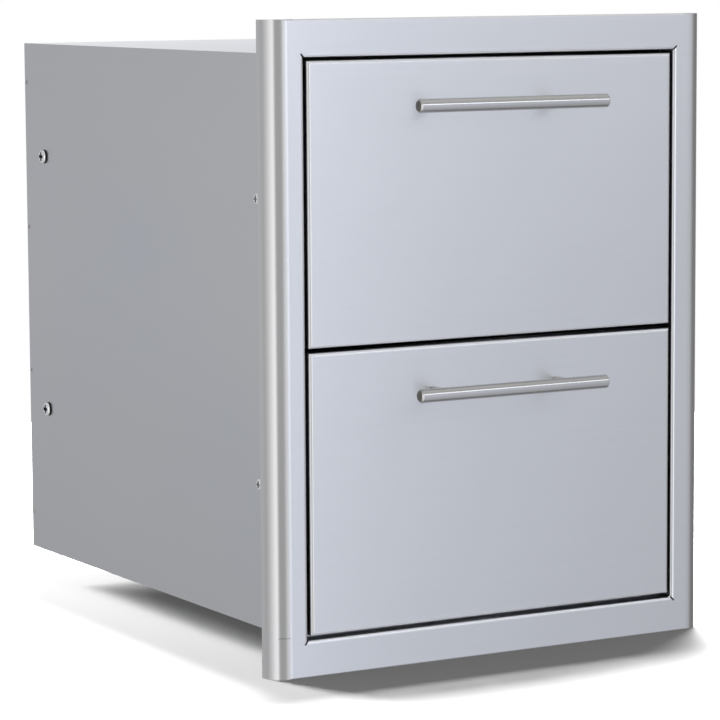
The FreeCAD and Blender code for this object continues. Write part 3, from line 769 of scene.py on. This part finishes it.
def ball(name, radius, middle, sides, tiers):
    """A closed ball of four-sided faces, with a small flat face at each pole."""
    vertices = []
    for tier in range(1, tiers):
        tilt = math.pi * (tier / tiers - 0.5)
        vertices += ring(radius * math.cos(tilt), middle + radius * math.sin(tilt), sides)
    faces = [tuple(range(sides)), tuple(range(len(vertices) - sides, len(vertices)))]
    for tier in range(tiers - 2):
        for side in range(sides):
            a = tier * sides + side
            b = tier * sides + (side + 1) % sides
            faces.append((a, b, b + sides, a + sides))
    return make_mesh(name, vertices, faces)


def floor(stage):
    """A plain round floor, level with the lowest point of the unit."""
    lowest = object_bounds()[0].z
    face = tuple(range(FLOOR_SIDES))
    made = make_mesh("floor", ring(stage.floor_radius, lowest, FLOOR_SIDES), [face])
    shader = new_shader("pale floor")
    matt = {"Color": stage.floor_tint, "Roughness": 0.0}
    lit = shader.add("ShaderNodeBsdfDiffuse", {}, matt, "BSDF")
    glow = shader.add("ShaderNodeEmission", {}, {"Strength": stage.floor_glow}, "Emission")
    surface = shader.add("ShaderNodeAddShader", {}, {0: lit, 1: glow}, "Shader")
    shader.add("ShaderNodeOutputMaterial", {}, {"Surface": surface})
    made.data.materials.append(shader.owner)
    made.visible_glossy = False
    made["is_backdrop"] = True


def board_stops(boards):
    """Ramp stops for boards, with red held back and blue held up where they are cool."""
    stops = []
    for turn, light, cool in boards:
        level = (light * (1 - RED_DROP * cool), light, light * (1 + BLUE_GAIN * cool))
        stops.append(((turn + 180) / 360, level))
    return stops


def fade_stops(fade):
    """Ramp stops for the shares of the boards' light from straight down to straight up."""
    return [((rise + 90) / 180, (share,) * 3) for rise, share in fade]


def patch(turn, rise, limits):
    """The brightness that one lit patch of the tent adds."""
    *angles, brightness = limits
    left, right, low, high = map(math.radians, angles)
    return (turn > left) * (turn < right) * (rise > low) * (rise < high) * brightness


def tent(stage):
    """A round tent of white and grey boards about the unit, which only reflections see."""
    lo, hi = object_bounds()
    middle = (lo.z + hi.z) / 2
    made = ball("reflecting_tent", stage.tent_radius, middle, TENT_SIDES, TENT_TIERS)
    shader = new_shader("tent boards")
    x, y, z = shader.parts(shader.point())
    turn = (0.0 - x).angle_from(0.0 - y)
    rise = (z - middle).angle_from((x * x + y * y).root())
    light = shader.ramp(turn / (2 * math.pi) + 0.5, board_stops(BOARDS))
    covered = shader.fade_in(rise, math.radians(CEILING_START), math.radians(CEILING_FULL))
    light = shader.mix(covered, light, (CEILING_LIGHT,) * 3)
    fade = shader.ramp(rise / math.pi + 0.5, fade_stops(FADE))
    share = fade + patch(turn, rise, STRIP) + patch(turn, rise, BACK_PATCH)
    # Only the sky and the lamps light the floor: the steel doesn't pass the tent's light on to it
    depth = shader.add("ShaderNodeLightPath", output="Diffuse Depth")
    inputs = {"Color": shader.scaled(light, share * (depth < 0.5)), "Strength": 1.0}
    surface = shader.add("ShaderNodeEmission", {}, inputs, "Emission")
    shader.add("ShaderNodeOutputMaterial", {}, {"Surface": surface})
    made.data.materials.append(shader.owner)
    made.visible_camera = False
    made.visible_diffuse = False
    made.visible_shadow = False
    made.visible_transmission = False
    made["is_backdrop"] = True


def lamp(name, place, rotation, size, power):
    """A soft square light, which reflections don't see."""
    light = bpy.data.lights.new(name, "AREA")
    light.shape = "SQUARE"
    light.size = size
    light.energy = power
    made = bpy.data.objects.new(name, light)
    made.location = place
    made.rotation_euler = rotation
    made.visible_glossy = False
    bpy.context.scene.collection.objects.link(made)


def lights(stage):
    """The light above, the light behind and a sky that looks white but lights faintly."""
    straight_down = (0.0, 0.0, 0.0)
    lamp("key", stage.key_place, straight_down, stage.key_size, stage.key_power)
    aimed = Vector(stage.back_place).to_track_quat("Z", "Y").to_euler()
    lamp("back light", stage.back_place, aimed, stage.back_size, stage.back_power)

    world = bpy.data.worlds.new("even sky")
    shader = Shader(world)
    seen = shader.add("ShaderNodeLightPath", output="Is Camera Ray")
    light = stage.sky_strength + seen * (1.0 - stage.sky_strength)
    sky = shader.add("ShaderNodeBackground", {}, {"Color": light, "Strength": 1.0}, "Background")
    shader.add("ShaderNodeOutputWorld", {}, {"Surface": sky})
    bpy.context.scene.world = world


def camera(stage):
    turn, pitch, roll = stage.camera_turn, stage.camera_pitch, stage.camera_roll
    right = Vector((math.cos(turn), -math.sin(turn), 0.0))
    level = Vector((math.sin(turn), math.cos(turn), 0.0))
    up = Vector((0.0, 0.0, 1.0))
    ahead = level * math.cos(pitch) - up * math.sin(pitch)
    above = up * math.cos(pitch) + level * math.sin(pitch)
    leaned_right = right * math.cos(roll) + above * math.sin(roll)
    leaned_up = above * math.cos(roll) - right * math.sin(roll)
    lens = bpy.data.cameras.new("camera")
    lens.sensor_width = SENSOR_WIDTH
    lens.lens = stage.lens
    lens.clip_end = 4 * stage.floor_radius
    made = bpy.data.objects.new("camera", lens)
    turned = Matrix((leaned_right, leaned_up, -ahead)).transposed()
    made.matrix_world = Matrix.Translation(stage.camera_place) @ turned.to_4x4()
    bpy.context.scene.collection.objects.link(made)
    bpy.context.scene.camera = made


class UNIT_OT_stage(bpy.types.Operator):
    """Sets up the floor, the light tent, the lights and the camera"""
    bl_idname = "unit.stage"
    bl_label = "Stage"
    bl_options = {"REGISTER", "UNDO"}

    def execute(self, context):
        stage = context.scene.unit_stage
        floor(stage)
        tent(stage)
        lights(stage)
        camera(stage)
        context.scene.view_settings.view_transform = "Standard"
        return {"FINISHED"}


STEPS = (
    UNIT_OT_stage,
    UNIT_OT_front_frame,
    UNIT_OT_drawer_fronts,
    UNIT_OT_handles,
    UNIT_OT_cabinet,
    UNIT_OT_drawer_boxes,
    UNIT_OT_slides,
    UNIT_OT_fasteners,
)


class UNIT_PT_finish(bpy.types.Panel):
    """Lists the unit's sizes and colours and the steps that use them"""
    bl_idname = "UNIT_PT_finish"
    bl_label = "Drawer unit"
    bl_space_type = "VIEW_3D"
    bl_region_type = "UI"
    bl_category = "Drawer unit"

    def draw(self, context):
        for settings in (context.scene.unit_steel, context.scene.unit_stage):
            column = self.layout.column()
            for name in settings.__annotations__:
                column.prop(settings, name)
        for step in STEPS:
            self.layout.operator(step.bl_idname)


CLASSES = (SteelSettings, StageSettings, *STEPS, UNIT_PT_finish)


def register():
    for cls in CLASSES:
        bpy.utils.register_class(cls)
    bpy.types.Scene.unit_steel = PointerProperty(type=SteelSettings)
    bpy.types.Scene.unit_stage = PointerProperty(type=StageSettings)


def unregister():
    del bpy.types.Scene.unit_stage
    del bpy.types.Scene.unit_steel
    for cls in reversed(CLASSES):
        bpy.utils.unregister_class(cls)


def main():
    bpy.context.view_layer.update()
    register()
    bpy.ops.unit.stage()
    bpy.ops.unit.front_frame()
    bpy.ops.unit.drawer_fronts()
    bpy.ops.unit.handles()
    bpy.ops.unit.cabinet()
    bpy.ops.unit.drawer_boxes()
    bpy.ops.unit.slides()
    bpy.ops.unit.fasteners()


if __name__ == "__main__":
    main()
